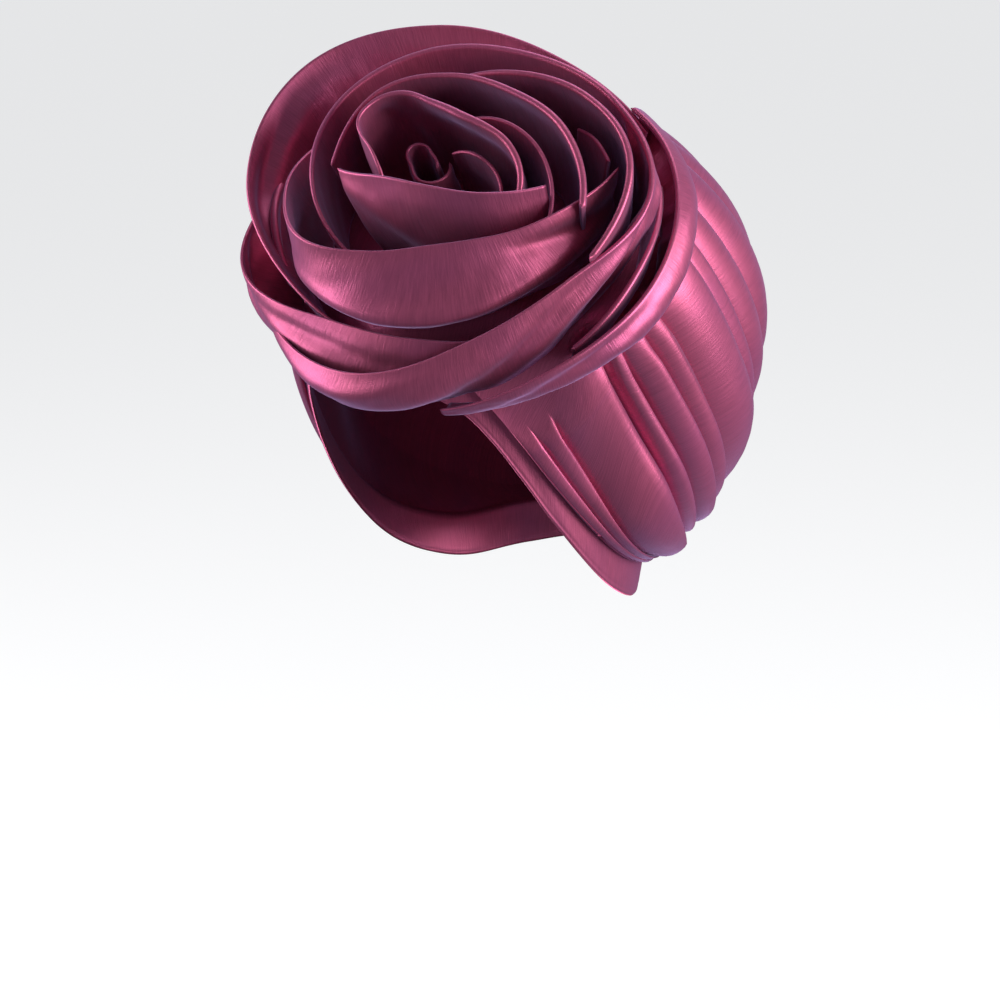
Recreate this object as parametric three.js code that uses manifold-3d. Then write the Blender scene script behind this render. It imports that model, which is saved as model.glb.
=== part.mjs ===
// A tied gele head tie: a hollow pleated turban crown, a fitted edge band and a large cloth rosette.
// Millimetres. +Z is up, the wearer faces -Y, the wearer's left is +X.
// The origin is inside the crown, at the centre of the head form that the band and crown fit.
import * as THREE from "three";
import Module from "manifold-3d";

const wasm = await Module();
wasm.setup();

// Head form: an ellipsoid above the origin, and below it an oval tube that narrows to the neck.
const HEAD = { halfWidth: 76, halfDepth: 95, height: 80 };
const NECK = { reach: 130, widthLoss: 0.20, depthLoss: 0.24, backShift: 12 };
const FALL_PER_RADIAN = 95;

// The puffed crown: its own ellipsoid, further back than the head, that tapers downwards.
const BULB = { halfWidth: 105, halfDepth: 115, height: 112, backShift: 31, taperReach: 142 };
const CROWN = {
  wall: 2.2, clear: 7, edgeAboveHem: 18,
  edgeRound: 0.25, napeRound: 0.12, forward: -0.1, forwardBlend: 0.4,
};
const CROWN_STEPS = 16;

// The hem, from the middle of the front round to the nape: turn in degrees, level in mm.
const HEM = [
  { turn: 0, level: 3 },
  { turn: 15, level: 0 },
  { turn: 30, level: -13 },
  { turn: 38, level: -27 },
  { turn: 47, level: -47 },
  { turn: 58, level: -70 },
  { turn: 74, level: -95 },
  { turn: 90, level: -112 },
  { turn: 110, level: -124 },
  { turn: 130, level: -129 },
  { turn: 155, level: -124 },
  { turn: 180, level: -118 },
];

// How a pleat runs, in even steps from the front to the nape: the turn of the hem below it, and
// the rise of the back seam above it, in degrees over the top of the head from the front.
const RUN = {
  hemTurn: [0, 42, 80, 108, 137, 180],
  seamRise: [100, 138, 181, 201, 213, 226],
};

// The pleats of one side, from the back seam (0) to the hem (1): lower edge and height of each.
const PLEATS = [
  { edge: 0.08, height: 5 },
  { edge: 0.16, height: 6 },
  { edge: 0.24, height: 8 },
  { edge: 0.315, height: 10 },
  { edge: 0.395, height: 11 },
  { edge: 0.465, height: 9 },
  { edge: 0.515, height: 7.5 },
  { edge: 0.635, height: 11 },
  { edge: 0.68, height: 8 },
  { edge: 0.735, height: 9 },
  { edge: 0.775, height: 6.5 },
  { edge: 0.925, height: 10 },
  { edge: 0.967, height: 4 },
  { edge: 1, height: 2 },
];

// A pleat's section, from its upper valley to its lower one: place and share of its height.
const PLEAT_SECTION = [
  { place: 0, share: 0 },
  { place: 0.1, share: 0.76 },
  { place: 0.32, share: 1 },
  { place: 0.7, share: 0.66 },
];

// How the pleats flatten towards the front and the nape.
const PLEAT_FADE = { front: 0.6, frontReach: 0.3, napeReach: 0.2 };

const BAND = { height: 22, wall: 1.7, clear: 0.7, columns: 44 };

// The rosette: where the middle of its brim is, and which way it faces.
const ROSETTE_CENTRE = new THREE.Vector3(35.5, -58.6, 70.7);
const ROSETTE_AXIS = new THREE.Vector3(0.249, -0.6474, 0.722).normalize();

// The crown is drawn flat under the rosette: a shallow bowl's outside in the rosette's frame.
// It is pressed down as far as edge plus blend, and drawn up as far as liftEdge plus liftBlend.
const SEAT = {
  top: -1.5, fall: 0.0033, reach: 75, edge: 90, blend: 34,
  liftEdge: 84, liftBlend: 22, hemReach: 0.2, pleatEdge: 76, pleatBlend: 10,
};
const WRAP = { wall: 2.6, footGap: 2.4, gap: 0.4, endMargin: 0.006 };

// The rosette's wraps, inner ones first. Turn is in degrees round the rosette's axis, and rim is
// the rim's distance from it; lift is the rim's height over the brim, lean is how much further out
// the foot is than the rim, belly is how far the face stands out between them, and skew is how far
// the foot is turned on from the rim at the start and at the end. Each list runs evenly along a wrap.
// A wrap with a crest is creased along that share of its height, where its face stands out most.
const WRAPS = [
  {
    name: "rosette_bud", middle: [-15, 8], from: -25, to: 380, steps: 16,
    rim: [6, 4.5, 9.5, 6.5, 13, 10], lift: [31, 34, 35, 34, 33, 28], lean: [0], belly: [0],
  },
  {
    name: "rosette_core_fold", middle: [0, 0], from: 106, to: -22, steps: 7,
    rim: [12, 13, 25], lift: [34, 38, 32], lean: [3, 2, -4], belly: [0],
  },
  {
    name: "rosette_heart_fold", middle: [0, 0], from: 95, to: -24, steps: 9,
    rim: [28, 31, 40, 52], lift: [36, 42, 40, 34], lean: [-4, -4, -8, -14], belly: [0],
  },
  {
    name: "rosette_heart_petal", middle: [-10, 0], from: 217, to: -22, steps: 18,
    rim: [21, 21, 25, 36, 38, 35, 28, 25, 25, 29, 36, 42, 45], lift: [40, 50, 52, 51, 50, 46, 36],
    lean: [3, 0, -6, -2, 0, -4, -8], belly: [0, 2, 0],
  },
  {
    name: "rosette_front_petal", middle: [-3, 35], from: 220, to: 318, steps: 12,
    rim: [62, 54, 54, 60, 65], lift: [42, 50, 52, 50, 42], lean: [0, 6, 10, 6, 0],
    belly: [2, 5, 2], skew: [26, -8],
  },
  {
    name: "rosette_upper_petal", middle: [0, 0], from: 178, to: -15, steps: 16,
    rim: [57, 55, 47, 44, 52, 64], lift: [34, 44, 46, 46, 44, 38], lean: [-8, -6, -4, -4, -8, -14],
    belly: [0, 3, 2],
  },
  {
    name: "rosette_inner_ridge", middle: [0, 0], from: 34, to: 10, steps: 4,
    rim: [59, 64, 69], lift: [28, 33, 33], lean: [-8, -10, -12], belly: [0],
  },
  {
    name: "rosette_front_band", middle: [0, 0], from: 160, to: 368, steps: 22,
    rim: [80, 77, 73, 55, 43, 41, 45, 56, 73], lift: [14, 31, 38, 40, 40, 40, 38, 37, 32],
    lean: [-10, -10, -8, -2, 3, 3, 0, -4, -12], belly: [0, 2, 8, 20, 24, 20, 15, 9, 0], crest: 0.42,
  },
  {
    name: "rosette_upper_outer_fold", middle: [0, 0], from: 105, to: -28, steps: 12,
    rim: [51, 55, 68, 79, 76], lift: [36, 42, 40, 38, 28], lean: [-5, -5, -10, -14, -12],
    belly: [1, 3, 2],
  },
  {
    name: "rosette_left_fold", middle: [0, 0], from: 158, to: 205, steps: 6,
    rim: [98, 91, 84], lift: [-4, 5, -2], lean: [-15, -10, -8], belly: [3],
  },
  {
    name: "rosette_spiral_wrap", middle: [0, 0], from: 225, to: -150, steps: 36,
    rim: [54, 65, 74, 76, 75, 80, 87, 74, 76, 94, 99],
    lift: [20, 29, 32, 32, 30, 28, 26, 24, 16, 5, -8],
    lean: [-4, -6, -12, -16, -17, -18, -20, -8, -2, -10, -16],
    belly: [0, 0, 0, 0, 2, 4, 4, 5, 10, 12, 6],
  },
  {
    name: "rosette_lower_left_wrap", middle: [0, 0], from: 172, to: 290, steps: 14,
    rim: [105, 103, 80, 72, 71], lift: [-12, 3, 9, 11, 8], lean: [-20, -19, 0, 4, 2],
    belly: [3, 9, 14, 10, 5],
  },
  {
    name: "rosette_pocket_ridge", middle: [0, 0], from: 16, to: -47, steps: 8,
    rim: [87, 88, 88], lift: [2, 8, 0], lean: [-12, -12, -12], belly: [2],
  },
  {
    name: "rosette_right_wrap", middle: [0, 0], from: 48, to: -88, steps: 16,
    rim: [92, 94, 95, 93, 91], lift: [-2, 4, 4, 1, -14], lean: [-9, -11, -12, -10, -9],
    belly: [8, 11, 9, 5, 3],
  },
  {
    name: "rosette_back_petal", middle: [0, 0], from: 40, to: 245, steps: 22,
    rim: [92, 93, 103, 112, 103, 84, 73], lift: [-8, 6, 16, 20, 16, 6, 0],
    lean: [-12, -12, -20, -28, -21, -8, 0], belly: [2, 0, -3, -4, -2, 0, 2],
  },
];
const WRAP_PLACES = [0, 0.3, 0.62, 1];

const radians = THREE.MathUtils.degToRad;

// The level of the hem at a turn in degrees, on a smooth curve through the rows of its table.
function hemLevel(turn) {
  const last = HEM.length - 1;
  const next = THREE.MathUtils.clamp(HEM.findIndex((row) => row.turn >= turn), 1, last);
  const slope = (i) => {
    const a = HEM[Math.max(i - 1, 0)];
    const b = HEM[Math.min(i + 1, last)];
    return i === 0 || i === last ? 0 : (b.level - a.level) / (b.turn - a.turn);
  };
  const a = HEM[next - 1];
  const b = HEM[next];
  const span = b.turn - a.turn;
  const f = (turn - a.turn) / span;
  const blend = f * f * (3 - 2 * f);
  const bend = slope(next - 1) * (f - 2 * f * f + f ** 3) + slope(next) * (f ** 3 - f * f);
  return a.level + (b.level - a.level) * blend + bend * span;
}

// A smooth curve through evenly spaced values, at a share 0 to 1 of its length.
function along(values, share) {
  const last = values.length - 1;
  if (last === 0) {
    return values[0];
  }
  const x = THREE.MathUtils.clamp(share, 0, 1) * last;
  const i = Math.min(Math.floor(x), last - 1);
  const f = x - i;
  const b = values[i];
  const c = values[i + 1];
  const a = i > 0 ? values[i - 1] : 2 * b - c;
  const d = i + 2 <= last ? values[i + 2] : 2 * c - b;
  const bend = (2 * a - 5 * b + 4 * c - d) * f * f + (3 * b - a - 3 * c + d) * f * f * f;
  return b + 0.5 * ((c - a) * f + bend);
}

function smooth(x) {
  return THREE.MathUtils.smoothstep(x, 0, 1);
}

// A direction from a turn about the vertical (0 to the front, 90 to the wearer's left) and a rise.
function direction(turn, rise) {
  const level = Math.cos(rise);
  return new THREE.Vector3(level * Math.sin(turn), -level * Math.cos(turn), Math.sin(rise));
}

// How far an ellipse or ellipsoid reaches along a direction from the origin.
function reachOf(way, x, y, z, backShift) {
  const a = (way.x / x) ** 2 + (way.y / y) ** 2 + (way.z / z) ** 2;
  const b = (-2 * way.y * backShift) / y ** 2;
  const c = (backShift / y) ** 2 - 1;
  return (-b + Math.sqrt(b * b - 4 * a * c)) / (2 * a);
}

// A point on the head form, grown by clear.
function headPoint(turn, rise, clear) {
  const { halfWidth, halfDepth, height } = HEAD;
  if (rise >= 0) {
    const way = direction(turn, rise);
    return way.multiplyScalar(reachOf(way, halfWidth + clear, halfDepth + clear, height + clear, 0));
  }
  const level = rise * FALL_PER_RADIAN;
  const share = Math.min(-level / NECK.reach, 1);
  const x = halfWidth * (1 - NECK.widthLoss * share ** 1.6) + clear;
  const y = halfDepth * (1 - NECK.depthLoss * share ** 1.4) + clear;
  const way = direction(turn, 0);
  way.multiplyScalar(reachOf(way, x, y, 1, 0));
  return way.add(new THREE.Vector3(0, NECK.backShift * share, level));
}

// A point on the puffed crown.
function bulbPoint(turn, rise) {
  const { halfWidth, halfDepth, height, backShift } = BULB;
  const way = direction(turn, Math.max(rise, 0));
  way.multiplyScalar(reachOf(way, halfWidth, halfDepth, height, backShift));
  if (rise >= 0) {
    return way;
  }
  const level = rise * FALL_PER_RADIAN;
  way.multiplyScalar(Math.sqrt(Math.max(1 - (level / BULB.taperReach) ** 2, 0.05)));
  way.z = level;
  return way;
}

function hemRise(turn) {
  return hemLevel(THREE.MathUtils.radToDeg(turn)) / FALL_PER_RADIAN;
}

// The height of the flattened seat in the rosette's frame.
function seatHeight(radius) {
  return SEAT.top - SEAT.fall * radius * radius;
}

// Presses a crown point down, or draws it up, onto the seat under the rosette.
function onSeat(point, across) {
  const offset = point.clone().sub(ROSETTE_CENTRE);
  const height = offset.dot(ROSETTE_AXIS);
  const radius = Math.sqrt(Math.max(offset.lengthSq() - height * height, 0));
  if (height < -SEAT.reach) {
    return { point, flat: 0 };
  }
  const within = (edge, blend) => smooth((edge + blend - radius) / blend);
  const press = within(SEAT.edge, SEAT.blend);
  const lift = within(SEAT.liftEdge, SEAT.liftBlend) * smooth((1 - across) / SEAT.hemReach);
  const move = seatHeight(radius) - height;
  point.addScaledVector(ROSETTE_AXIS, move * (move > 0 ? lift : press));
  return { point, flat: within(SEAT.pleatEdge, SEAT.pleatBlend) };
}

// The crown's smooth surface: place along a pleat, place across the pleats, and side, 1 or -1.
function crownPoint(place, across, side) {
  const hemTurn = radians(along(RUN.hemTurn, place));
  const seam = radians(along(RUN.seamRise, place));
  const hemWay = direction(hemTurn, hemRise(hemTurn) + CROWN.edgeAboveHem / FALL_PER_RADIAN);
  const high = new THREE.Vector3(0, -Math.cos(seam), Math.sin(seam));
  const angle = high.angleTo(hemWay);
  const way = high.multiplyScalar(Math.sin((1 - across) * angle));
  way.addScaledVector(hemWay, Math.sin(across * angle)).divideScalar(Math.sin(angle));
  const rise = Math.asin(THREE.MathUtils.clamp(way.z, -1, 1));
  const turn = Math.atan2(way.x, -way.y);
  const edge = Math.min(1, (1 - across) / CROWN.edgeRound) * Math.min(1, (1 - place) / CROWN.napeRound);
  const round = edge * (1 - smooth((-way.y - CROWN.forward) / CROWN.forwardBlend));
  const point = headPoint(turn, rise, CROWN.clear).lerp(bulbPoint(turn, rise), round ** 0.6);
  const outward = direction(turn, Math.max(rise, 0));
  point.x *= side;
  outward.x *= side;
  return { ...onSeat(point, across), outward };
}

// The outward normal of the smooth crown, drawn to the plain outward direction at the open edge.
function crownNormal(place, across, side) {
  const step = 0.01;
  const p = THREE.MathUtils.clamp(place, step, 1 - step);
  const q = THREE.MathUtils.clamp(across, step, 1 - 2 * step);
  const du = crownPoint(p + step, q, side).point.sub(crownPoint(p - step, q, side).point);
  const dv = crownPoint(p, q + step, side).point.sub(crownPoint(p, q - step, side).point);
  const normal = dv.cross(du).normalize();
  const { outward } = crownPoint(place, across, side);
  if (normal.dot(outward) < 0) {
    normal.negate();
  }
  return normal.lerp(outward, smooth((across - 0.9) / 0.1)).normalize();
}

// One point of the crown: relief is the pleat's height there, depth is how far in from the outside.
function pleatedPoint(place, across, side, relief, depth) {
  const base = crownPoint(place, across, side);
  const front = PLEAT_FADE.front + (1 - PLEAT_FADE.front) * smooth(place / PLEAT_FADE.frontReach);
  const fade = (1 - base.flat) * front * Math.min(1, (1 - place) / PLEAT_FADE.napeReach);
  const normal = crownNormal(place, across, side);
  return base.point.addScaledVector(normal, relief * fade - depth);
}

// A closed body from vertices and triangles, turned so that its faces point out.
function body(vertices, triangles) {
  const geometry = new THREE.BufferGeometry();
  let volume = 0;
  for (const [a, b, c] of triangles) {
    volume += vertices[a].dot(vertices[b].clone().cross(vertices[c]));
  }
  const ordered = volume > 0 ? triangles : triangles.map(([a, b, c]) => [a, c, b]);
  geometry.setFromPoints(vertices);
  geometry.setIndex(ordered.flat());
  geometry.computeVertexNormals();
  return geometry;
}

function quad(triangles, a, b, c, d) {
  triangles.push([a, b, c], [a, c, d]);
}

// The rows across the pleats: each one's place and its share of relief.
function pleatRows(section) {
  const rows = [];
  let start = 0;
  for (const pleat of PLEATS) {
    for (const { place, share } of section) {
      rows.push({ across: start + (pleat.edge - start) * place, relief: pleat.height * share });
    }
    start = pleat.edge;
  }
  rows.push({ across: 1, relief: 0 });
  return rows;
}

// One skin of the crown. The first row is the back seam, which both sides share.
function crownSkin(vertices, rows, depth) {
  const columns = 2 * CROWN_STEPS;
  return rows.map(({ across, relief }, row) => {
    const ring = [];
    for (let column = 0; column < columns; column += 1) {
      const left = column <= CROWN_STEPS;
      const step = left ? column : columns - column;
      if (row === 0 && !left) {
        ring.push(ring[step]);
        continue;
      }
      const point = pleatedPoint(step / CROWN_STEPS, across, left ? 1 : -1, relief, depth);
      ring.push(vertices.push(point) - 1);
    }
    return ring;
  });
}

function skinFaces(triangles, rings, flip) {
  for (let row = 1; row < rings.length; row += 1) {
    const above = rings[row - 1];
    const below = rings[row];
    for (let i = 0; i < below.length; i += 1) {
      const j = (i + 1) % below.length;
      if (flip) {
        quad(triangles, above[i], above[j], below[j], below[i]);
      } else {
        quad(triangles, above[i], below[i], below[j], above[j]);
      }
    }
  }
}

// The crown's shell; grow moves its outside out, for cutting the rosette clear of it.
function makeCrown(grow = 0) {
  const vertices = [];
  const triangles = [];
  const outer = crownSkin(vertices, pleatRows(PLEAT_SECTION), -grow);
  const inner = crownSkin(vertices, pleatRows([PLEAT_SECTION[0], PLEAT_SECTION[2]]), CROWN.wall);
  skinFaces(triangles, outer, false);
  skinFaces(triangles, inner, true);
  skinFaces(triangles, [outer.at(-1), inner.at(-1)], false);
  return body(vertices, triangles);
}

function makeBand() {
  const vertices = [];
  const triangles = [];
  const rings = [];
  const levels = [0, 0.35, 0.7, 1];
  const faces = [
    ...levels.map((level) => ({ level, clear: BAND.clear + BAND.wall })),
    ...levels.toReversed().map((level) => ({ level, clear: BAND.clear })),
  ];
  for (const { level, clear } of faces) {
    const ring = [];
    for (let column = 0; column < BAND.columns; column += 1) {
      const turn = (column / BAND.columns) * 2 * Math.PI;
      const side = turn > Math.PI ? 2 * Math.PI - turn : turn;
      const rise = hemRise(side) + (level * BAND.height) / FALL_PER_RADIAN;
      const point = headPoint(side, rise, clear);
      point.x *= turn > Math.PI ? -1 : 1;
      ring.push(vertices.push(point) - 1);
    }
    rings.push(ring);
  }
  skinFaces(triangles, [...rings, rings[0]], false);
  return body(vertices, triangles);
}

// How far a wrap's foot is from the rosette's axis, whichever middle the wrap itself turns about.
function footDistance(wrap, share, radius, skew) {
  const angle = radians(wrap.from + (wrap.to - wrap.from) * share + skew);
  const [x, y] = wrap.middle;
  return Math.hypot(x + radius * Math.cos(angle), y + radius * Math.sin(angle));
}

// A wrap's section at a share of its length: its outline as distance, height and turn.
function wrapSection(wrap, share, grow) {
  const rim = along(wrap.rim, share);
  const lift = along(wrap.lift, share);
  const lean = along(wrap.lean, share);
  const belly = along(wrap.belly, share);
  const skew = along(wrap.skew ?? [0], share);
  const foot = seatHeight(footDistance(wrap, share, rim + lean, skew)) + WRAP.footGap;
  const half = WRAP.wall / 2 + grow;
  const centre = (v) => {
    const creased = wrap.crest !== undefined;
    const out = creased ? Math.min(v / wrap.crest, (1 - v) / (1 - wrap.crest)) : Math.sin(Math.PI * v);
    return new THREE.Vector2(rim + lean * v + belly * out, lift + (foot - lift) * v);
  };
  const side = (v, sign) => {
    const way = centre(v + 0.02).sub(centre(v - 0.02)).normalize();
    const point = centre(v).add(new THREE.Vector2(-way.y, way.x).multiplyScalar(sign * half));
    return { radius: Math.max(point.x, 0.4), height: point.y, turn: skew * v };
  };
  const top = centre(0);
  const rimTip = { radius: top.x, height: top.y + half, turn: 0 };
  const evenly = wrap.crest === undefined ? WRAP_PLACES : [0, wrap.crest / 2, wrap.crest, 1];
  const places = evenly.map((v) => (v === 1 ? 1 + grow / 15 : v));
  const out = places.map((v) => side(v, 1));
  const back = places.toReversed().map((v) => side(v, -1));
  return [rimTip, ...out, ...back];
}

// The wall of one wrap; grow thickens it on both sides, for cutting its neighbours clear of it.
function wrapBody(wrap, grow = 0) {
  const vertices = [];
  const triangles = [];
  const rings = [];
  const shares = Array.from({ length: wrap.steps + 1 }, (_, step) => step / wrap.steps);
  if (grow > 0) {
    shares.unshift(-WRAP.endMargin);
    shares.push(1 + WRAP.endMargin);
  }
  for (const share of shares) {
    const turn = wrap.from + (wrap.to - wrap.from) * share;
    const ring = wrapSection(wrap, THREE.MathUtils.clamp(share, 0, 1), grow).map((at) => {
      const angle = radians(turn + at.turn);
      const x = wrap.middle[0] + at.radius * Math.cos(angle);
      const y = wrap.middle[1] + at.radius * Math.sin(angle);
      return vertices.push(new THREE.Vector3(x, y, at.height)) - 1;
    });
    rings.push(ring);
  }
  skinFaces(triangles, rings, false);
  const sides = WRAP_PLACES.length;
  for (const [ring, flip] of [[rings[0], false], [rings.at(-1), true]]) {
    const cap = [[ring[0], ring[1], ring[2 * sides]]];
    for (let i = 1; i < sides; i += 1) {
      quad(cap, ring[i], ring[i + 1], ring[2 * sides - i], ring[2 * sides + 1 - i]);
    }
    triangles.push(...cap.map(([a, b, c]) => (flip ? [a, c, b] : [a, b, c])));
  }
  return body(vertices, triangles);
}

function toSolid(geometry) {
  const vertProperties = new Float32Array(geometry.attributes.position.array);
  const triVerts = new Uint32Array(geometry.index.array);
  return new wasm.Manifold(new wasm.Mesh({ numProp: 3, vertProperties, triVerts }));
}

function fromSolid(solid) {
  const mesh = solid.getMesh();
  const geometry = new THREE.BufferGeometry();
  geometry.setAttribute("position", new THREE.BufferAttribute(mesh.vertProperties, 3));
  geometry.setIndex(new THREE.BufferAttribute(mesh.triVerts, 1));
  geometry.computeVertexNormals();
  return geometry;
}

// Each wrap is cut clear of the crown and of the wraps before it, and its largest piece is kept.
function makeWraps(crown) {
  const cutters = [toSolid(crown)];
  return WRAPS.map((wrap) => {
    const plain = wrapBody(wrap);
    const whole = toSolid(plain);
    const near = cutters.filter((cutter) => whole.intersect(cutter).volume() > 0);
    cutters.push(toSolid(wrapBody(wrap, WRAP.gap)));
    if (near.length === 0) {
      return { name: wrap.name, geometry: plain };
    }
    const pieces = near.reduce((solid, cutter) => solid.subtract(cutter), whole).decompose();
    const [largest] = pieces.sort((a, b) => b.volume() - a.volume());
    return { name: wrap.name, geometry: fromSolid(largest) };
  });
}

const TAFFETA = { color: 0x8c3555, roughness: 0.42, metalness: 0 };

function piece(name, geometry) {
  const mesh = new THREE.Mesh(geometry, new THREE.MeshStandardMaterial(TAFFETA));
  mesh.name = name;
  return mesh;
}

const gele = new THREE.Group();
gele.add(piece("edge_band", makeBand()));
gele.add(piece("pleated_crown", makeCrown()));

const rosette = new THREE.Group();
const sideways = new THREE.Vector3(0, 0, 1).cross(ROSETTE_AXIS).normalize();
const upward = ROSETTE_AXIS.clone().cross(sideways);
rosette.position.copy(ROSETTE_CENTRE);
rosette.quaternion.setFromRotationMatrix(new THREE.Matrix4().makeBasis(sideways, upward, ROSETTE_AXIS));
rosette.updateMatrix();
const crownAsSeen = makeCrown(WRAP.gap).applyMatrix4(rosette.matrix.clone().invert());
for (const { name, geometry } of makeWraps(crownAsSeen)) {
  rosette.add(piece(name, geometry));
}
gele.add(rosette);

export default gele;
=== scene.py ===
import bmesh
import bpy
import numpy as np
from mathutils import Matrix, Vector
from mathutils.bvhtree import BVHTree


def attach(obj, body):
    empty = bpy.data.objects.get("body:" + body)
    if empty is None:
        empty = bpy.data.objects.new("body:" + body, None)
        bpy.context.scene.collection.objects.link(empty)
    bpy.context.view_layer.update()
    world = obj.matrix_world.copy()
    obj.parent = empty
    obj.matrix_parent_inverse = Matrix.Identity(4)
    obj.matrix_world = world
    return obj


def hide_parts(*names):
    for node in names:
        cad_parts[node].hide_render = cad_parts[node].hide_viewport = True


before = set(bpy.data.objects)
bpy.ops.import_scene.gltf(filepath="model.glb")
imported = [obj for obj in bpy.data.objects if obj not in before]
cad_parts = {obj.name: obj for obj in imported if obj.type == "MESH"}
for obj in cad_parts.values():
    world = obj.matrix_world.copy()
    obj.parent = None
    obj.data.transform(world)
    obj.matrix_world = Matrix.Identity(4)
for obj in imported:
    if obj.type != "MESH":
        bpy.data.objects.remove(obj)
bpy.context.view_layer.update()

MM = 0.001

# Camera: the photograph's direction, distance and framing, in metres.
EYE = Vector((0.828, -1.087, 0.313))
LOOK_RIGHT = Vector((0.7986, 0.6018, 0.0))
LOOK_UP = Vector((-0.1659, 0.2201, 0.9613))
LOOK_BACK = Vector((0.5785, -0.7677, 0.2756))
LENS_MM = 105.8
SENSOR_MM = 36
NEAR_CLIP = 0.01

# Inner form that the band and the front of the crown are fitted on: half width, half depth, height.
# Below its widest level it narrows by a share of each, and moves back.
FORM = (76.0, 95.0, 80.0)
FORM_REACH = 130.0
FORM_LOSS = (0.20, 0.24)
FORM_LOSS_POWER = (1.6, 1.4)
FORM_BACK = 12.0
# A rise is an angle above the form's widest level. Below it, one radian is this far down.
FALL_PER_RADIAN = 95.0

# Puffed crown: half width, half depth, height, how far back it sits, and where it tapers to a point.
BULB = (105.0, 115.0, 112.0)
BULB_BACK = 31.0
BULB_TAPER = 142.0
LEAST_TAPER = 0.05
CROWN_CLEAR = 7.0
CROWN_DEPTH = 3.2
EDGE_ABOVE_HEM = 18.0
# Shares of the way in from the hem and from the nape in which the crown puffs out.
EDGE_ROUND = 0.25
NAPE_ROUND = 0.12
PUFF_POWER = 0.6
# The crown lies flat on the form towards the front.
FORWARD = -0.1
FORWARD_BLEND = 0.4
# Relief of the pleats at the front seam, and the shares over which it grows there and fades behind.
PLEAT_FRONT = 0.6
PLEAT_FRONT_REACH = 0.3
PLEAT_NAPE_REACH = 0.2

# The hem's level at each turn from the front, and the turns where a pleat starts and ends.
HEM_TURN = (0, 15, 30, 38, 47, 58, 74, 90, 110, 130, 155, 180)
HEM_LEVEL = (3, 0, -13, -27, -47, -70, -95, -112, -124, -129, -124, -118)
RUN_HEM = (0, 42, 80, 108, 137, 180)
RUN_SEAM = (100, 138, 181, 201, 213, 226)

# The pleats of one side: lower edge as a share from seam to hem, height.
PLEATS = (
    (0.08, 5), (0.16, 6), (0.24, 8), (0.315, 10), (0.395, 11), (0.465, 9), (0.515, 7.5),
    (0.635, 11), (0.68, 8), (0.735, 9), (0.775, 6.5), (0.925, 10), (0.967, 4), (1, 2),
)
PLEAT_ROWS = 12
CROWN_COLUMNS = 130
# More columns lie where the pleats bend round the rosette.
COLUMN_SHARES = (0, 0.12, 0.62, 1)
COLUMN_PLACES = (0, 0.15, 0.45, 1)
# Section of a pleat: rounder above than below, with a valley at its edge and a droop over it.
PLEAT_SKEW = 0.56
PLEAT_SQUARE = 2.6
PLEAT_FULL = 0.7
VALLEY_DEPTH = 1.1
PLEAT_DROOP = -0.32
# How the pleats vary along their length. The lowest ones don't sway.
CALM_POWER = 0.6
SWAY = 0.0015
SWAY_PACE = 0.9
STEADY_PLEATS = 3
HEIGHT_VARIES = 0.09
HEIGHT_PACE = 1.3
HEIGHT_SEED = 31
RIPPLE = 0.16
RIPPLE_PACE = 2.2
RIPPLE_SEED = 7
# The crown is eased along the pleats between these places.
EASE_PASSES = 30
EASE_FROM = 0.12
EASE_TO = 0.5
EASE_REACH = 0.08
# The crown's normals: step for the slopes, and the share near the hem that leans outward.
NORMAL_STEP = 0.01
NORMAL_HEM = 0.9

# Waves of a wandering line: pace, size and how a seed shifts it; and what their sum is divided by.
WANDER = ((2.0, 1.0, 2.399), (4.3, 0.6, 4.13), (8.9, 0.35, 1.77))
WANDER_SIZE = 1.95

# The rosette's place and its own frame.
CENTRE = np.array((35.5, -58.6, 70.7))
AXIS = np.array((0.249, -0.6474, 0.722))
AXIS = AXIS / np.linalg.norm(AXIS)
SIDEWAYS = np.cross((0.0, 0.0, 1.0), AXIS)
SIDEWAYS = SIDEWAYS / np.linalg.norm(SIDEWAYS)
UPWARD = np.cross(AXIS, SIDEWAYS)

# The seat that the crown is pressed to under the rosette, or lifted to, and how wide each goes.
SEAT_TOP = -1.5
SEAT_FALL = 0.0033
SEAT_EDGE = 90.0
SEAT_BLEND = 34.0
LIFT_EDGE = 84.0
LIFT_BLEND = 22.0
LIFT_HEM_REACH = 0.2
SEAT_REACH = 75.0
PLEAT_EDGE = 76.0
PLEAT_BLEND = 10.0

# Edge band: a rounded fold below, a wall with rounded ends, a fine stitched line, a slight wave.
BAND_HEIGHT = 22.0
BAND_WALL = 1.7
BAND_CLEAR = 0.7
BAND_END = 1.0
BAND_COLUMNS = 360
BAND_COLUMN_STEP = 1.75
BAND_OUTER_ROWS = 24
BAND_INNER_ROWS = 12
STITCH_DEPTH = 0.35
STITCH_LEVEL = 3.2
STITCH_WIDTH = 0.5
BAND_WAVE = 0.25
BAND_WAVES = 5
BAND_WAVE_LEAN = 0.4
BAND_SEED = 3
BAND_THREAD = 5.0

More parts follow.
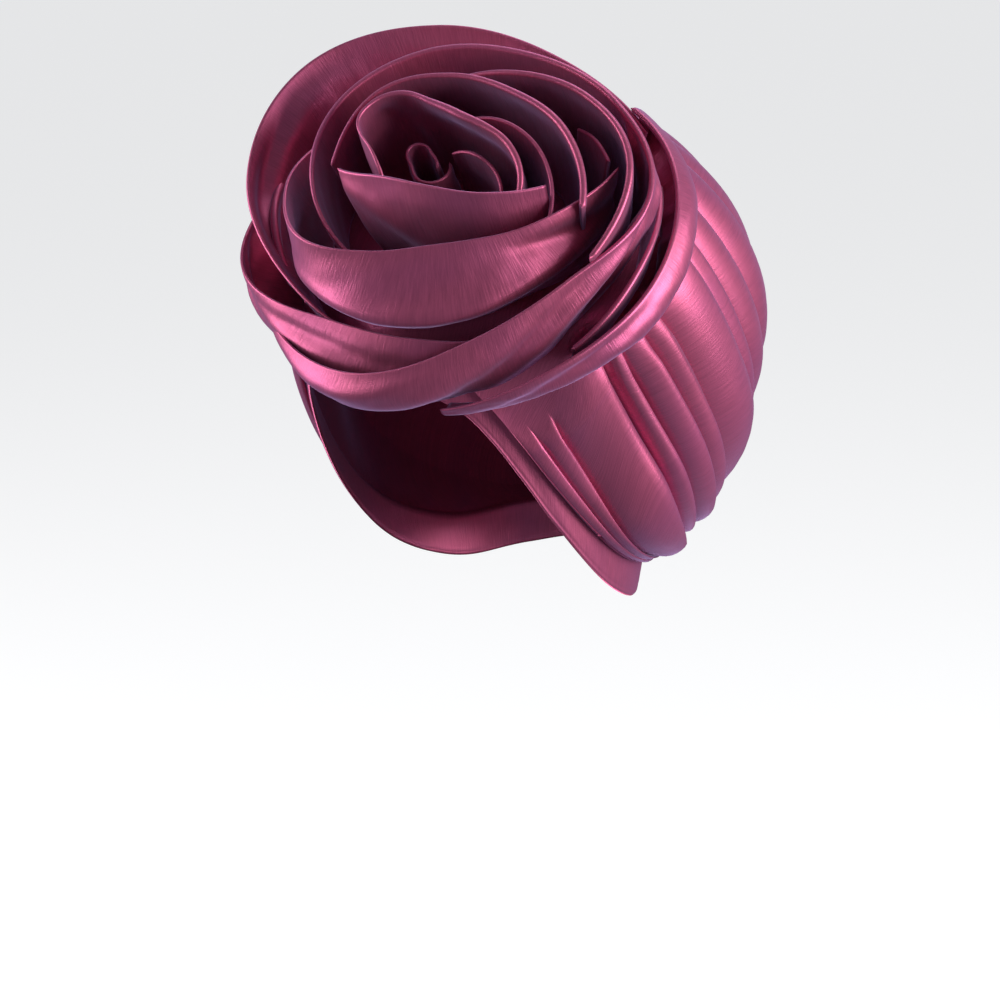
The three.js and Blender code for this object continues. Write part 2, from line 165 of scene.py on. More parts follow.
# The wraps, inner ones first: name, middle, from, to, rim, lift, lean, belly, skew, roll.
# Rim is the radius along the wrap, lift the rim's height, lean how far out the foot stands from
# the rim, belly how far the face bulges, skew the turn of the foot, and roll the soft rim's thickness.
WRAPS = (
    ("rosette_bud", (-15, 8), -25, 380, (6, 4.5, 9.5, 6.5, 13, 10),
     (31, 34, 35, 34, 33, 28), (0,), (0,), (0,), (2.2,)),
    ("rosette_core_fold", (0, 0), 106, -22, (12, 13, 25),
     (34, 38, 32), (3, 2, -4), (0,), (0,), (3.0,)),
    ("rosette_heart_fold", (0, 0), 95, -24, (28, 31, 40, 52),
     (36, 42, 40, 34), (-4, -4, -8, -14), (0,), (0,), (3.2,)),
    ("rosette_heart_petal", (-10, 0), 217, -22, (21, 21, 25, 36, 38, 35, 28, 25, 25, 29, 36, 42, 45),
     (40, 50, 52, 51, 50, 46, 36), (3, 0, -6, -2, 0, -4, -8), (0, 2, 0), (0,),
     (2.6, 2.6, 3, 5.5, 6, 5.5, 4)),
    ("rosette_front_petal", (-3, 35), 220, 318, (62, 54, 54, 60, 65),
     (42, 50, 52, 50, 42), (0, 6, 10, 6, 0), (2, 5, 2), (26, -8), (2.2,)),
    ("rosette_upper_petal", (0, 0), 178, -15, (57, 55, 47, 44, 52, 64),
     (34, 44, 46, 46, 44, 38), (-8, -6, -4, -4, -8, -14), (0, 3, 2), (0,),
     (2.6, 3, 4, 5, 5.5, 5)),
    ("rosette_inner_ridge", (0, 0), 34, 10, (59, 64, 69),
     (28, 33, 33), (-8, -10, -12), (0,), (0,), (3,)),
    ("rosette_front_band", (0, 0), 160, 368, (80, 77, 73, 55, 43, 41, 45, 56, 73),
     (14, 31, 38, 40, 40, 40, 38, 37, 32), (-10, -10, -8, -2, 3, 3, 0, -4, -12),
     (0, 2, 8, 20, 24, 20, 15, 9, 0), (0,), (2.4, 2.4, 2.2, 2.2, 2.6)),
    ("rosette_upper_outer_fold", (0, 0), 105, -28, (51, 55, 68, 79, 76),
     (36, 42, 40, 38, 28), (-5, -5, -10, -14, -12), (1, 3, 2), (0,), (3.5, 4.5, 5, 5, 4)),
    ("rosette_left_fold", (0, 0), 158, 205, (98, 91, 84),
     (-4, 5, -2), (-15, -10, -8), (3,), (0,), (6,)),
    ("rosette_spiral_wrap", (0, 0), 225, -150, (54, 65, 74, 76, 75, 80, 87, 74, 76, 94, 99),
     (20, 29, 32, 32, 30, 28, 26, 24, 16, 5, -8),
     (-4, -6, -12, -16, -17, -18, -20, -8, -2, -10, -16),
     (0, 0, 0, 0, 2, 4, 4, 5, 10, 12, 6), (0,),
     (2.4, 3.4, 4.2, 4.6, 4.6, 5, 4, 2.8, 2.4, 2.2, 2.2)),
    ("rosette_lower_left_wrap", (0, 0), 172, 290, (105, 103, 80, 72, 71),
     (-12, 3, 9, 11, 8), (-20, -19, 0, 4, 2), (3, 9, 14, 10, 5), (0,), (2.4,)),
    ("rosette_pocket_ridge", (0, 0), 16, -47, (87, 88, 88),
     (2, 8, 0), (-12, -12, -12), (2,), (0,), (4,)),
    ("rosette_right_wrap", (0, 0), 48, -88, (92, 94, 95, 93, 91),
     (-2, 4, 4, 1, -14), (-9, -11, -12, -10, -9), (8, 11, 9, 5, 3), (0,), (4, 4.5, 4, 3, 2.2)),
    ("rosette_back_petal", (0, 0), 40, 245, (92, 93, 103, 112, 103, 84, 73),
     (-8, 6, 16, 20, 16, 6, 0), (-12, -12, -20, -28, -21, -8, 0),
     (2, 0, -3, -4, -2, 0, 2), (0,), (2.6,)),
)

# A wrap creased along a share of its height, where its face stands out most.
CRESTS = {"rosette_front_band": 0.42}
CREST_ROUND = 0.10

# Soft creases and dents in the wraps: share along, share down, turn of the crease in degrees,
# half length, half width, height.
CREASES = {
    "rosette_spiral_wrap": (
        (0.50, 0.20, 45, 18, 4, -3.0),
        (0.55, 0.18, 50, 20, 4, 3.2),
        (0.60, 0.22, 34, 32, 5, -4.8),
        (0.66, 0.26, 16, 40, 6, 4.2),
        (0.72, 0.38, 16, 44, 6, -4.0),
        (0.86, 0.25, 8, 36, 6, 2.2),
        (0.91, 0.42, 6, 36, 5, -2.2),
    ),
    "rosette_front_band": (
        (0.60, 0.48, 3, 60, 5, 2.4),
        (0.60, 0.60, 3, 60, 4, -2.2),
        (0.86, 0.26, 16, 32, 6, -3.6),
    ),
    "rosette_front_petal": (
        (0.20, 0.35, 38, 26, 6, 1.4),
        (0.85, 0.30, -18, 20, 6, 1.6),
    ),
    "rosette_lower_left_wrap": (
        (0.28, 0.20, 18, 48, 4, -4.0),
        (0.36, 0.36, 18, 48, 5, 3.0),
        (0.62, 0.28, 6, 44, 5, -2.6),
    ),
    "rosette_back_petal": (
        (0.58, 0.30, 4, 26, 9, -3.6),
        (0.72, 0.26, 5, 46, 6, 4.4),
        (0.83, 0.42, 6, 34, 6, -3.2),
        (0.30, 0.40, 3, 60, 10, -1.6),
    ),
    "rosette_right_wrap": (
        (0.45, 0.30, 3, 60, 8, 1.2),
        (0.72, 0.24, 8, 36, 4, -2.4),
    ),
    "rosette_heart_petal": (
        (0.34, 0.25, 70, 16, 5, 2.2),
        (0.44, 0.35, 80, 16, 5, -2.0),
        (0.70, 0.30, 4, 40, 6, 1.5),
    ),
}
# Creases fade out towards the rim, the faster the higher this is.
CREASE_FADE = 5
# Slight waves in every wrap: size, length, lean down the face, seed step, fade towards the rim.
WRAP_WAVES = ((0.4, 90, 0.7, 3.1, 4), (0.08, 26, -1.4, 1.7, 5))

# How a wrap's mesh is laid out: rows are closer together at the rim.
WRAP_ROWS = 36
ROW_POWER = 1.7
WRAP_STEP = 1.4
LEAST_COLUMNS = 40
SLOPE_STEP = 0.02
# The wall's half thickness, its rolled rim, its rounded ends, and the least that both can be.
WALL_HALF = 1.15
ROLL_SHARE = 0.65
ROLL_FADE = 11.0
LEAST_ROLL = 0.1
END_ROUND = 1.5
LEAST_HALF = 0.04
LEAST_RADIUS = 0.3
# The foot reaches a little into the crown, whose height is looked for within these limits.
FOOT_SINK = 0.4
FOOT_WINDOW = 9
RAY_START = 40.0
RAY_LENGTH = 90.0
BELOW_SEAT = 4.0
ABOVE_SEAT = 10.0
WRAP_THREAD = 11.0

# The cloth: wine, a violet tone in soft clouds, slubs that run across, and a sheen.
WINE = (0.42, 0.082, 0.155)
VIOLET_TONE = (0.32, 0.07, 0.19)
TONE_SHARE = 0.35
DARK_SHARE = 0.88
LIGHT_SHARE = 1.10
ROUGHNESS = (0.40, 0.50)
# Noise: scale along the three directions of the cloth, detail, offset.
SLUB_NOISE = ((1500.0, 110.0, 300.0), 3.0, 3.1)
WEFT_NOISE = ((2600.0, 420.0, 300.0), 2.0, 7.7)
CLOUD_NOISE = ((22.0, 22.0, 40.0), 2.0, 1.3)
OFFSET_DOWN = 0.7
WEFT_SHARE = 0.5
BUMP_STRENGTH = 0.35
BUMP_DISTANCE_M = 0.00035
SHINE = {
    "Metallic": 0.7,
    "Specular IOR Level": 0.7,
    "Specular Tint": (0.75, 0.55, 1.0, 1.0),
    "Sheen Weight": 0.5,
    "Sheen Roughness": 0.4,
    "Sheen Tint": (0.60, 0.45, 0.85, 1.0),
}

# The studio, in metres: floor, dome and the paper that both are made of.
FLOOR_LEVEL = -0.42
FLOOR_HALF = 6.0
DOME_RADIUS = 5.9
PAPER = (0.3, 0.3, 0.3)
PAPER_ROUGHNESS = 0.9
PAPER_GLOW = 0.72
# Lights: name, degrees right of the camera, degrees up, metres away, size in metres, watts.
LIGHTS = (
    ("right_box", 64, 8, 1.4, (0.8, 1.1), 33),
    ("left_box", -88, 8, 1.3, (0.8, 1.2), 22),
    ("top_box", 150, 66, 1.4, (0.8, 0.8), 7),
)
AIM = (0.02, -0.03, 0.02)
SKY = (0.78, 0.85, 1.0)
SKY_STRENGTH = 0.23


def along(values, share):
    """A smooth curve through evenly spaced values, at shares 0 to 1 of its length."""
    values = np.asarray(values, float)
    share = np.asarray(share, float)
    last = len(values) - 1
    if last == 0:
        return np.full(share.shape, values[0])
    x = np.clip(share, 0, 1) * last
    i = np.minimum(x.astype(int), last - 1)
    f = x - i
    b = values[i]
    c = values[i + 1]
    a = np.where(i > 0, values[np.maximum(i - 1, 0)], 2 * b - c)
    d = np.where(i + 2 <= last, values[np.minimum(i + 2, last)], 2 * c - b)
    bend = (2 * a - 5 * b + 4 * c - d) * f * f + (3 * b - a - 3 * c + d) * f**3
    return b + 0.5 * ((c - a) * f + bend)


def smooth(x):
    """0 below 0, 1 above 1, and a soft step between them."""
    x = np.clip(x, 0, 1)
    return x * x * (3 - 2 * x)


def rounded(share):
    """How full a wall is, at a share of the way in from its round end."""
    return np.sqrt(np.clip(1 - (1 - np.clip(share, 0, 1)) ** 2, 0, 1))


def unit(vectors):
    return vectors / np.maximum(np.linalg.norm(vectors, axis=-1, keepdims=True), 1e-9)


def wave(x, seed):
    """A smooth wandering line between -1 and 1, the same each run."""
    waves = (size * np.sin(pace * np.pi * x + seed * shift) for pace, size, shift in WANDER)
    return sum(waves) / WANDER_SIZE


def hem_level(turn):
    """The hem's level at a turn from the front."""
    turns = np.array(HEM_TURN, float)
    levels = np.array(HEM_LEVEL, float)
    slopes = np.zeros(len(turns))
    slopes[1:-1] = (levels[2:] - levels[:-2]) / (turns[2:] - turns[:-2])
    high = np.clip(np.searchsorted(turns, turn), 1, len(turns) - 1)
    low = high - 1
    span = turns[high] - turns[low]
    f = (turn - turns[low]) / span
    bend = slopes[low] * (f - 2 * f * f + f**3) + slopes[high] * (f**3 - f * f)
    return levels[low] + (levels[high] - levels[low]) * f * f * (3 - 2 * f) + bend * span


def hem_rise(turn):
    """The hem's rise in radians, at a turn in radians."""
    return hem_level(np.degrees(turn)) / FALL_PER_RADIAN


def direction(turn, rise):
    """The way out from the middle, at a turn and a rise in radians."""
    level = np.cos(rise)
    return np.stack([level * np.sin(turn), -level * np.cos(turn), np.sin(rise)], -1)


def reach_of(way, x, y, z, back):
    """How far an ellipsoid of these half sizes reaches that way, when it sits back a little."""
    a = (way[..., 0] / x) ** 2 + (way[..., 1] / y) ** 2 + (way[..., 2] / z) ** 2
    b = -2 * way[..., 1] * back / y**2
    c = (back / y) ** 2 - 1
    return (-b + np.sqrt(b * b - 4 * a * c)) / (2 * a)


def form_point(turn, rise, clear):
    """A point on the inner form, grown by clear."""
    width, depth, height = FORM
    way = direction(turn, np.maximum(rise, 0))
    over = way * reach_of(way, width + clear, depth + clear, height + clear, 0)[..., None]
    level = rise * FALL_PER_RADIAN
    share = np.clip(-level / FORM_REACH, 0, 1)
    x = width * (1 - FORM_LOSS[0] * share ** FORM_LOSS_POWER[0]) + clear
    y = depth * (1 - FORM_LOSS[1] * share ** FORM_LOSS_POWER[1]) + clear
    flat = direction(turn, np.zeros_like(rise))
    under = flat * reach_of(flat, x, y, 1, 0)[..., None]
    under[..., 1] += FORM_BACK * share
    under[..., 2] = level
    return np.where((rise >= 0)[..., None], over, under)


def bulb_point(turn, rise):
    """A point on the puffed crown."""
    width, depth, height = BULB
    way = direction(turn, np.maximum(rise, 0))
    way = way * reach_of(way, width, depth, height, BULB_BACK)[..., None]
    level = rise * FALL_PER_RADIAN
    taper = np.sqrt(np.maximum(1 - (level / BULB_TAPER) ** 2, LEAST_TAPER))
    under = way * taper[..., None]
    under[..., 2] = level
    return np.where((rise >= 0)[..., None], way, under)


def seat_height(radius):
    return SEAT_TOP - SEAT_FALL * radius * radius


def on_seat(point, across):
    """The point moved on to the rosette's seat, and how flat the pleats are pressed there."""
    offset = point - CENTRE
    height = offset @ AXIS
    radius = np.sqrt(np.maximum((offset**2).sum(-1) - height * height, 0))
    near = height >= -SEAT_REACH
    cut = smooth((SEAT_EDGE + SEAT_BLEND - radius) / SEAT_BLEND) * near
    lift = smooth((LIFT_EDGE + LIFT_BLEND - radius) / LIFT_BLEND) * near
    flat = smooth((PLEAT_EDGE + PLEAT_BLEND - radius) / PLEAT_BLEND) * near
    move = seat_height(radius) - height
    share = np.where(move > 0, lift * smooth((1 - across) / LIFT_HEM_REACH), cut)
    return point + (move * share)[..., None] * AXIS, flat


def crown_point(place, across, side):
    """The crown's smooth surface: place along a pleat, across the pleats, and the side, 1 or -1."""
    turn = np.radians(along(RUN_HEM, place))
    seam = np.radians(along(RUN_SEAM, place))
    low = direction(turn, hem_rise(turn) + EDGE_ABOVE_HEM / FALL_PER_RADIAN)
    high = np.stack([np.zeros_like(seam), -np.cos(seam), np.sin(seam)], -1)
    angle = np.arccos(np.clip((low * high).sum(-1), -1, 1))
    way = high * np.sin((1 - across) * angle)[..., None] + low * np.sin(across * angle)[..., None]
    way = way / np.sin(angle)[..., None]
    rise = np.arcsin(np.clip(way[..., 2], -1, 1))
    turn = np.arctan2(way[..., 0], -way[..., 1])
    edge = np.minimum(1, (1 - across) / EDGE_ROUND) * np.minimum(1, (1 - place) / NAPE_ROUND)
    full = edge * (1 - smooth((-way[..., 1] - FORWARD) / FORWARD_BLEND))
    full = np.maximum(full, 0) ** PUFF_POWER
    fitted = form_point(turn, rise, CROWN_CLEAR)
    point = fitted + (bulb_point(turn, rise) - fitted) * full[..., None]
    outward = direction(turn, np.maximum(rise, 0))
    mirror = np.array((side, 1, 1))
    point, flat = on_seat(point * mirror, across)
    return point, flat, outward * mirror


def crown_normal(place, across, side):
    """The crown's outward normals, which lean straight out at the hem."""
    step = NORMAL_STEP
    p = np.clip(place, step, 1 - step)
    q = np.clip(across, step, 1 - 2 * step)
    du = crown_point(p + step, q, side)[0] - crown_point(p - step, q, side)[0]
    dv = crown_point(p, q + step, side)[0] - crown_point(p, q - step, side)[0]
    normal = unit(np.cross(dv, du))
    outward = crown_point(place, across, side)[2]
    flip = (normal * outward).sum(-1) < 0
    normal[flip] *= -1
    mix = smooth((across - NORMAL_HEM) / (1 - NORMAL_HEM))[..., None]
    return unit(normal + (outward - normal) * mix)


def make_object(name, vertices, faces, threads):
    """A mesh object from points in millimetres, with the cloth's own coordinates on its points."""
    mesh = bpy.data.meshes.new(name)
    mesh.from_pydata((np.asarray(vertices) * MM).tolist(), [], faces)
    mesh.polygons.foreach_set("use_smooth", [True] * len(mesh.polygons))
    layer = mesh.attributes.new("thread", "FLOAT_VECTOR", "POINT")
    layer.data.foreach_set("vector", (np.asarray(threads) * MM).astype(np.float32).ravel())
    mesh.update()
    thing = bpy.data.objects.new(name, mesh)
    bpy.context.scene.collection.objects.link(thing)
    return thing


def without_repeats(face):
    return [int(v) for k, v in enumerate(face) if v != face[k - 1]]


def grid_faces(rings, flip=False):
    """Faces between closed rings of points, one after another."""
    faces = []
    for above, below in zip(rings[:-1], rings[1:]):
        count = len(below)
        for i in range(count):
            j = (i + 1) % count
            face = [above[i], above[j], below[j], below[i]]
            face = face[::-1] if flip else face
            if len(set(face)) > 2:
                faces.append(without_repeats(face))
    return faces


def eased(values, free):
    """Values smoothed along the pleats, as far as each point is free to move."""
    result = values
    for _ in range(EASE_PASSES):
        middle = (result[:, :-2] + 2 * result[:, 1:-1] + result[:, 2:]) / 4
        result = np.concatenate([result[:, :1], middle, result[:, -1:]], 1)
    return values + (result - values) * free[..., None]


def pleat_rows(place, side):
    """Across, relief and droop for each row of one half of the crown, from the seam to the hem."""
    calm = np.sin(np.pi * np.clip(place, 0, 1)) ** CALM_POWER
    rows = []
    start = np.zeros_like(place)
    for index, (edge, height) in enumerate(PLEATS):
        seed = index * 2 + (side < 0)
        sway = SWAY if index < len(PLEATS) - STEADY_PLEATS else 0.0
        end = edge + sway * calm * wave(place * SWAY_PACE, seed)
        full = height * (1 + HEIGHT_VARIES * calm * wave(place * HEIGHT_PACE, seed + HEIGHT_SEED))
        for step in range(PLEAT_ROWS):
            t = 0.5 - 0.5 * np.cos(np.pi * step / PLEAT_ROWS)
            skewed = t**PLEAT_SKEW
            bulge = (1 - abs(2 * skewed - 1) ** PLEAT_SQUARE) ** PLEAT_FULL
            ripple = RIPPLE * np.sin(np.pi * t) * wave(place * RIPPLE_PACE + t, seed + RIPPLE_SEED)
            relief = full * bulge - VALLEY_DEPTH * (1 - bulge) + ripple
            rows.append((start + (end - start) * t, relief, PLEAT_DROOP * full * np.sin(np.pi * skewed)))
        start = end
    rows.append((np.full_like(place, 1.0), np.zeros_like(place), np.zeros_like(place)))
    across, relief, droop = (np.array(values) for values in zip(*rows))
    relief[0] = 0
    return across, relief, droop


def crown_side(side):
    """One half of the crown: outer and inner skins and threads, as rows across by columns along."""
    place = np.interp(np.linspace(0, 1, CROWN_COLUMNS + 1), COLUMN_SHARES, COLUMN_PLACES)
    across, relief, droop = pleat_rows(place, side)
    place = np.broadcast_to(place, across.shape)
    base, flat, _ = crown_point(place, across, side)
    normal = crown_normal(place, across, side)
    free = (1 - flat) * smooth((place - EASE_FROM) / EASE_REACH) * smooth((EASE_TO - place) / EASE_REACH)
    base = eased(base, free)
    normal = unit(eased(normal, free))
    front = PLEAT_FRONT + (1 - PLEAT_FRONT) * smooth(place / PLEAT_FRONT_REACH)
    fade = (1 - flat) * front * np.minimum(1, (1 - place) / PLEAT_NAPE_REACH)
    down = unit(np.gradient(base, axis=0))
    outer = base + normal * (relief * fade)[..., None] + down * (droop * fade)[..., None]
    inner = base - normal * CROWN_DEPTH
    u = np.linalg.norm(np.gradient(base, axis=1), axis=-1).cumsum(1)
    v = np.linalg.norm(np.gradient(base, axis=0), axis=-1).cumsum(0)
    threads = np.stack([u, v, np.zeros_like(u)], -1)
    return outer, inner, threads


def make_crown():
    """The pleated cap: both halves share the seam's row and the columns at front and nape."""
    vertices = []
    threads = []
    left = crown_side(1)
    right = crown_side(-1)
    skins = []
    for skin in (0, 1):
        rings = []
        for row in range(left[0].shape[0]):
            ring = []
            for column in range(CROWN_COLUMNS + 1):
                vertices.append(left[skin][row, column])
                threads.append(left[2][row, column])
                ring.append(len(vertices) - 1)
            back = []
            for column in range(CROWN_COLUMNS - 1, 0, -1):
                if row == 0:
                    back.append(ring[column])
                    continue
                vertices.append(right[skin][row, column])
                threads.append(right[2][row, column])
                back.append(len(vertices) - 1)
            rings.append(ring + back)
        skins.append(rings)
    faces = grid_faces(skins[0]) + grid_faces(skins[1], flip=True)
    faces += grid_faces([skins[0][-1], skins[1][-1]])
    return make_object("crown_taffeta", vertices, faces, threads)


def band_section():
    """The band's section as pairs: share of its height, distance from the inner form."""
    section = []
    for level in np.linspace(0, 1, BAND_OUTER_ROWS):
        swell = rounded(min(level, 1 - level) * BAND_HEIGHT / BAND_END)
        seam = -STITCH_DEPTH * np.exp(-(((level * BAND_HEIGHT - STITCH_LEVEL) / STITCH_WIDTH) ** 2))
        section.append((level, BAND_CLEAR + BAND_WALL / 2 + BAND_WALL / 2 * swell + seam))
    for level in np.linspace(1, 0, BAND_INNER_ROWS):
        swell = rounded(min(level, 1 - level) * BAND_HEIGHT / BAND_END)
        section.append((level, BAND_CLEAR + BAND_WALL / 2 - BAND_WALL / 2 * swell))
    return section


def make_band():
    """The fitted edge strip, a closed loop of its section round the hem."""
    turns = np.linspace(0, 2 * np.pi, BAND_COLUMNS, endpoint=False)
    side = np.where(turns > np.pi, 2 * np.pi - turns, turns)
    sign = np.where(turns > np.pi, -1.0, 1.0)
    length = np.arange(BAND_COLUMNS) * BAND_COLUMN_STEP
    vertices = []
    threads = []
    rings = []
    for level, clear in band_section():
        rise = hem_rise(side) + level * BAND_HEIGHT / FALL_PER_RADIAN
        phase = turns / (2 * np.pi) * BAND_WAVES + level * BAND_WAVE_LEAN
        point = form_point(side, rise, clear + BAND_WAVE * wave(phase, BAND_SEED))
        point[..., 0] *= sign
        rings.append(list(range(len(vertices), len(vertices) + BAND_COLUMNS)))
        vertices.extend(point)
        height = np.full(BAND_COLUMNS, level * BAND_HEIGHT)
        threads.extend(np.stack([length, height, np.full(BAND_COLUMNS, BAND_THREAD)], -1))
    faces = grid_faces(rings + [rings[0]])
    return make_object("band_taffeta", vertices, faces, threads)


def rosette_point(x, y, height):
    """A point in the rosette's own frame."""
    return (
        CENTRE
        + x[..., None] * SIDEWAYS
        + y[..., None] * UPWARD
        + height[..., None] * AXIS
    )


def crown_height_at(tree, x, y, seat):
    """The crown's height in the rosette's frame under each point, kept near the seat."""
    found = np.array(seat)
    down = Vector((-AXIS).tolist())
    starts = rosette_point(x, y, np.full_like(x, RAY_START)) * MM
    for i, start in enumerate(starts):
        hit = tree.ray_cast(Vector(start.tolist()), down, RAY_LENGTH * MM)[0]
        if hit is not None:
            found[i] = (np.array(hit) / MM - CENTRE) @ AXIS
    return np.clip(found, seat - BELOW_SEAT, seat + ABOVE_SEAT)


def wrap_foot(tree, middle, radius, angle):
    """The height of a wrap's foot, where it meets the crown, evened out along the wrap."""
    x = middle[0] + radius * np.cos(angle)
    y = middle[1] + radius * np.sin(angle)
    foot = crown_height_at(tree, x, y, seat_height(np.hypot(x, y))) - FOOT_SINK
    even = np.ones(FOOT_WINDOW) / FOOT_WINDOW
    return np.convolve(np.pad(foot, FOOT_WINDOW // 2, mode="edge"), even, mode="valid")


def wrap_push(name, number, distance, run, down, v):
    """How far a wrap's face is pushed out by its slight waves and its creases."""
    push = 0.0
    for size, length, lean, seed, fade in WRAP_WAVES:
        push = push + size * wave(distance / length + v * lean, number * seed) * smooth(v * fade)
    for at, deep, tilt, long, wide, tall in CREASES.get(name, ()):
        ds = run[None, :] - run[-1] * at
        dd = down - down[-1][None, :] * deep
        cos, sin = np.cos(np.radians(tilt)), np.sin(np.radians(tilt))
        x = (cos * ds + sin * dd) / long
        y = (-sin * ds + cos * dd) / wide
        push = push + tall * np.exp(-x * x - y * y) * smooth(v * CREASE_FADE)
    return push


def wrap_half(roll, run, down):
    """Half the wall's thickness: a rolled rim, then plain cloth, with rounded ends."""
    half = roll + (WALL_HALF - roll) * smooth((down - roll) / ROLL_FADE)
    half = half * rounded(down / np.maximum(roll, LEAST_ROLL))
    half = half * rounded(np.minimum(run, run[-1] - run) / END_ROUND)[None, :]
    half = np.maximum(half, LEAST_HALF)
    half[0] = 0
    return half


def wrap_faces(rows, count):
    """Faces of a wall: the outer skin's rows, then the inner skin's, which share the rim's row."""
    index = np.arange(rows * count).reshape(-1, count)
    outer = index[:WRAP_ROWS]
    inner = np.concatenate([index[:1], index[WRAP_ROWS:]])
    loop = np.concatenate([outer, inner[:0:-1]])
    faces = grid_faces([list(loop[:, column]) for column in range(count)])
    for column, flip in ((0, True), (count - 1, False)):
        for i in range(WRAP_ROWS - 1):
            face = [outer[i, column], outer[i + 1, column], inner[i + 1, column], inner[i, column]]
            faces.append(without_repeats(face if flip else face[::-1]))
    return faces


def make_wrap(row, tree, number):
    """One wrap of the rosette: a closed wall from its rolled rim down to the crown."""
    name, middle, start, end, rim, lift, lean, belly, skew, roll = row
    length = abs(np.radians(end - start)) * float(np.mean(rim))
    count = max(int(length / WRAP_STEP), LEAST_COLUMNS)
    share = np.linspace(0, 1, count)
    rim, lift, lean, belly, skew, roll = (
        along(values, share) for values in (rim, lift, lean, belly, skew, roll)
    )
    roll = roll * ROLL_SHARE / 2
    turn = start + (end - start) * share
    foot = wrap_foot(tree, middle, rim + lean, np.radians(turn + skew))
    v = (np.linspace(0, 1, WRAP_ROWS) ** ROW_POWER)[:, None]
    crest = CRESTS.get(name)

    def section(v):
        """Radius and height of the wall's middle, at shares of the way down."""
        out = np.sin(np.pi * v)
        if crest:
            up = v / crest
            over = (1 - v) / (1 - crest)
            out = 0.5 * (up + over - np.sqrt((up - over) ** 2 + CREST_ROUND**2))
        return rim + lean * v + belly * out, lift + (foot - lift) * v

    radius, height = section(v)
    ahead = section(v + SLOPE_STEP)
    behind = section(v - SLOPE_STEP)
    way = unit(np.stack([ahead[0] - behind[0], ahead[1] - behind[1]], -1))
    normal = np.stack([-way[..., 1], way[..., 0]], -1)
    down = np.hypot(np.gradient(radius, axis=0), np.gradient(height, axis=0))
    down = np.concatenate([np.zeros((1, count)), np.cumsum(0.5 * (down[1:] + down[:-1]), 0)])
    run = np.cumsum(np.abs(np.gradient(np.radians(turn))) * rim)
    run = run - run[0]
    push = wrap_push(name, number, share * length, run, down, v)
    half = wrap_half(roll, run, down)
    angle = np.radians(turn[None, :] + skew[None, :] * v)
    skins = []
    for sign in (1, -1):
        r = np.maximum(radius + normal[..., 0] * (push + sign * half), LEAST_RADIUS)
        h = height + normal[..., 1] * (push + sign * half)
        skins.append(rosette_point(middle[0] + r * np.cos(angle), middle[1] + r * np.sin(angle), h))
    vertices = np.concatenate([skins[0], skins[1][1:]])
    u = np.broadcast_to(run[None, :], down.shape)
    threads = np.stack([u, down, np.full(down.shape, number * WRAP_THREAD)], -1)
    threads = np.concatenate([threads, threads[1:]])
    faces = wrap_faces(vertices.shape[0], count)
    title = name.replace("rosette", "fold")
    return make_object(title, vertices.reshape(-1, 3), faces, threads.reshape(-1, 3))


def taffeta(name, colour, seed):
    """Shot taffeta: wine warp, violet weft, slubs along the weft, satin shine."""
    material = bpy.data.materials.new(name)
    material.use_nodes = True
    nodes = material.node_tree.nodes
    links = material.node_tree.links
    nodes.clear()
    out = nodes.new("ShaderNodeOutputMaterial")
    shader = nodes.new("ShaderNodeBsdfPrincipled")
    links.new(shader.outputs[0], out.inputs[0])
    thread = nodes.new("ShaderNodeAttribute")
    thread.attribute_name = "thread"

    def noise(scale, detail, offset):
        stretch = nodes.new("ShaderNodeMapping")
        stretch.inputs["Scale"].default_value = scale
        stretch.inputs["Location"].default_value = (offset, seed, offset * OFFSET_DOWN)
        links.new(thread.outputs["Vector"], stretch.inputs["Vector"])
        texture = nodes.new("ShaderNodeTexNoise")
        texture.inputs["Scale"].default_value = 1.0
        texture.inputs["Detail"].default_value = detail
        links.new(stretch.outputs[0], texture.inputs["Vector"])
        return texture.outputs["Fac"]

    def ramp(value, low, high, to_low, to_high):
        node = nodes.new("ShaderNodeMapRange")
        node.inputs["From Min"].default_value = low
        node.inputs["From Max"].default_value = high
        node.inputs["To Min"].default_value = to_low
        node.inputs["To Max"].default_value = to_high
        links.new(value, node.inputs["Value"])
        return node.outputs[0]

    def shade(share):
        return (*(min(c * share, 1.0) for c in colour), 1.0)

    slub = noise(*SLUB_NOISE)
    weft = noise(*WEFT_NOISE)
    cloud = noise(*CLOUD_NOISE)

    streaks = nodes.new("ShaderNodeMix")
    streaks.data_type = "RGBA"
    streaks.inputs["A"].default_value = shade(DARK_SHARE)
    streaks.inputs["B"].default_value = shade(LIGHT_SHARE)
    links.new(ramp(slub, 0.3, 0.7, 0.0, 1.0), streaks.inputs["Factor"])
    tone = nodes.new("ShaderNodeMix")
    tone.data_type = "RGBA"
    tone.inputs["B"].default_value = (*VIOLET_TONE, 1.0)
    links.new(streaks.outputs["Result"], tone.inputs["A"])
    links.new(ramp(cloud, 0.45, 0.75, 0.0, TONE_SHARE), tone.inputs["Factor"])
    links.new(tone.outputs["Result"], shader.inputs["Base Color"])
    links.new(ramp(slub, 0.0, 1.0, *ROUGHNESS), shader.inputs["Roughness"])

    relief = nodes.new("ShaderNodeMath")
    relief.operation = "MULTIPLY_ADD"
    relief.inputs[1].default_value = WEFT_SHARE
    links.new(weft, relief.inputs[0])
    links.new(slub, relief.inputs[2])
    bump = nodes.new("ShaderNodeBump")
    bump.inputs["Strength"].default_value = BUMP_STRENGTH
    bump.inputs["Distance"].default_value = BUMP_DISTANCE_M
    links.new(relief.outputs[0], bump.inputs["Height"])
    links.new(bump.outputs[0], shader.inputs["Normal"])
    for socket, value in SHINE.items():
        shader.inputs[socket].default_value = value
    return material


